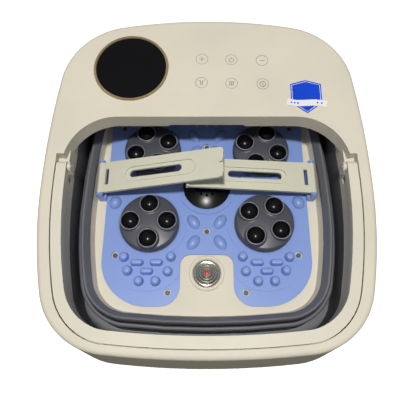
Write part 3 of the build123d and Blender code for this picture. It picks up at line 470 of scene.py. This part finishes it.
def cross_screws(name, places, foot_z, top_z, radius, body):
    """Pan head screws with a cross recess, each turned its own way."""
    points, faces = [], []
    around, arm, slot = 32, 0.58 * radius, 0.17 * radius
    for number, (x, y) in enumerate(places):
        first = len(points)
        rise = top_z - foot_z
        rows = [(radius, foot_z), (radius, foot_z + 0.45 * rise), (0.95 * radius, foot_z + 0.75 * rise),
                (0.82 * radius, top_z)]
        for r, z in rows:
            turns = [2 * pi * c / around for c in range(around)]
            points += [(x + r * cos(a), y + r * sin(a), z) for a in turns]
        faces += [tuple(first + i for i in face) for face in loft_faces(len(rows), around)]
        quarter = [(slot, slot), (slot, arm), (-slot, arm)]
        cross = [(px * cos(q) - py * sin(q), px * sin(q) + py * cos(q)) for q in (0, pi / 2, pi, 3 * pi / 2)
                 for px, py in quarter]
        spin = radians(25 + 37 * number)
        turned = [(px * cos(spin) - py * sin(spin), px * sin(spin) + py * cos(spin)) for px, py in cross]
        cross = [(x + px, y + py) for px, py in turned]
        top_ring = list(range(first + (len(rows) - 1) * around, first + len(rows) * around))
        mouth = list(range(len(points), len(points) + len(cross)))
        points += [(px, py, top_z) for px, py in cross]
        well = list(range(len(points), len(points) + len(cross)))
        points += [(px, py, top_z - 0.9) for px, py in cross]
        ids = top_ring + mouth
        flat = [[Vector((*points[i][:2], 0)) for i in loop] for loop in (top_ring, mouth)]
        faces += [tuple(ids[i] for i in tri) for tri in tessellate_polygon(flat)]
        floor_loop = [[Vector((*points[i][:2], 0)) for i in well]]
        faces += [tuple(well[i] for i in tri) for tri in tessellate_polygon(floor_loop)]
        faces += [(mouth[i - 1], mouth[i], well[i], well[i - 1]) for i in range(len(cross))]
    piece = add_piece(name, points, faces, body, "steel", screw_grey)
    return crease_by_angle(piece, 40)


screw_grey = moulded("screw_grey", (0.10, 0.10, 0.11), 0.35, vary=0.1)
PLATE_SCREWS = [(0, 70.3), (0, -51.3)]
PLATE_SCREWS += [(side * x, y) for x, y in ((115, -82.7), (115, 100), (47.8, -129.4)) for side in (-1, 1)]
screws = cross_screws("plate_screw_heads", PLATE_SCREWS, 107, 108.7, 3.1, "base")
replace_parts(screws, "plate_screws")

LENS_Y = -105.4
lens = lathe("light_lens_rings", [
    (17.3, 107), (17.3, 109.6), (16.2, 110.6), (14.8, 109.2), (12.6, 111.0), (11.6, 109.4), (9.4, 111.4),
    (8.4, 109.8), (6.2, 111.8), (5.2, 110.4), (3.8, 112.0), (3.3, 111.2), (0, 111.2)],
    0, LENS_Y, "base", "clear_lens")
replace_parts(crease_by_angle(lens, 25), "light_lens")
led_material = moulded("led_red", (0.55, 0.03, 0.03), 0.25, vary=0.3, coat=0.6)
led_section = [(2.9, 111.1), (2.9, 111.6), (2.2, 112.2), (1.2, 112.45), (0, 112.5)]
lathe("light_led", led_section, 0, LENS_Y, "base", None, 36, led_material)


# ---------------------------------------------------------------- prints on the deck
def deck_point(x, y, lift):
    """Point over the deck, from its own flat coordinates and a height above it."""
    slope_sin, slope_cos = sin(RIM_TILT), cos(RIM_TILT)
    return (x, y * slope_cos - lift * slope_sin, RIM_MID_Z + y * slope_sin + lift * slope_cos)


def print_lines(name, strokes, material, lift=0.08):
    """Printed lines as thin flat ribbons.  Each stroke is (points, width, closed)."""
    points, faces = [], []
    for line, width, closed in strokes:
        first, count = len(points), len(line)
        for i, here in enumerate(line):
            before = line[i - 1] if closed or i else here
            after = line[(i + 1) % count] if closed or i < count - 1 else here
            run = Vector((after[0] - before[0], after[1] - before[1])).normalized()
            for side in (-0.5, 0.5):
                aside = width * side
                points.append(deck_point(here[0] - run.y * aside, here[1] + run.x * aside, lift))
        for i in range(count if closed else count - 1):
            a, b = first + 2 * i, first + 2 * ((i + 1) % count)
            faces.append((a, b, b + 1, a + 1))
    return add_piece(name, points, faces, "rim", None, material, smooth=False)


def arc_points(x, y, radius, start=0.0, end=360.0, parts=48):
    count = parts if end - start >= 360 else parts + 1
    return [(x + radius * cos(radians(start + (end - start) * i / parts)),
             y + radius * sin(radians(start + (end - start) * i / parts))) for i in range(count)]


def shifted(x, y, line):
    return [(x + u, y + v) for u, v in line]


ink = moulded("print_grey", (0.10, 0.10, 0.095), 0.6, vary=0.15)
keys = {"plus": (-6.0, 150.0), "power": (31.1, 149.0), "minus": (69.8, 148.0),
        "jets": (-6.6, 115.7), "heat": (30.8, 114.6), "timer": (69.6, 113.9)}
for key, (x, y) in keys.items():
    strokes = [(arc_points(x, y, 7.4), 0.42, True)]
    if key == "plus":
        strokes.append((shifted(x, y, [(0, -3.3), (0, 3.3)]), 0.6, False))
    if key in ("plus", "minus"):
        strokes.append((shifted(x, y, [(-3.3, 0), (3.3, 0)]), 0.6, False))
    if key == "power":
        strokes.append((arc_points(x, y - 0.4, 3.1, 125, 415), 0.6, False))
        strokes.append((shifted(x, y, [(0, 0.6), (0, 3.8)]), 0.6, False))
    if key == "jets":
        for side in (-1, 1):
            jet = [(side * u, v) for u, v in ((3.4, 2.3), (2.0, 2.9), (1.1, 2.2), (0.9, 0.8), (0.9, -3.2))]
            strokes.append((shifted(x, y, jet), 0.7, False))
    if key == "heat":
        for across in (-2.2, 0, 2.2):
            wave = [(across + 0.7 * sin(v * 1.5), v) for v in [0.8 * i for i in range(-4, 5)]]
            strokes.append((shifted(x, y, wave), 0.7, False))
    if key == "timer":
        strokes.append((arc_points(x, y, 3.7), 0.6, True))
        strokes.append((shifted(x, y, [(-0.2, 2.2), (-0.2, -0.2), (1.5, -1.4)]), 0.6, False))
    print_lines(f"key_{key}", strokes, ink)

BADGE = (122.5, 96.0)
SHIELD = [(-19, 17.5), (0, 23), (19, 17.5), (19, -9), (0, -23), (-19, -9)]
white_print = moulded("print_white", (0.80, 0.80, 0.84), 0.4, vary=0.02)
blue_print = moulded("print_blue", (0.006, 0.05, 0.55), 0.4, vary=0.05)
border = [(0.91 * u, 0.91 * v) for u, v in SHIELD]
print_lines("badge_border", [(shifted(*BADGE, border), 0.7, True)], white_print, 0.46)
RIBBON_HALF = 24.5


def ribbon_v(u):
    """Wavy middle line of the ribbon across the shield."""
    return -9 - 0.07 * u + 1.1 * sin(pi * u / RIBBON_HALF)


ribbon_line = [(u, ribbon_v(u)) for u in [RIBBON_HALF * (i / 16 - 1) for i in range(33)]]
print_lines("badge_ribbon", [(shifted(*BADGE, ribbon_line), 8.6, False)], white_print, 0.60)
dots = [(arc_points(BADGE[0] + u, BADGE[1] + ribbon_v(u), 0.6, parts=12), 1.1, True)
        for u in (-19, -15, -11, 13, 18)]
print_lines("badge_dots", dots, blue_print, 0.68)
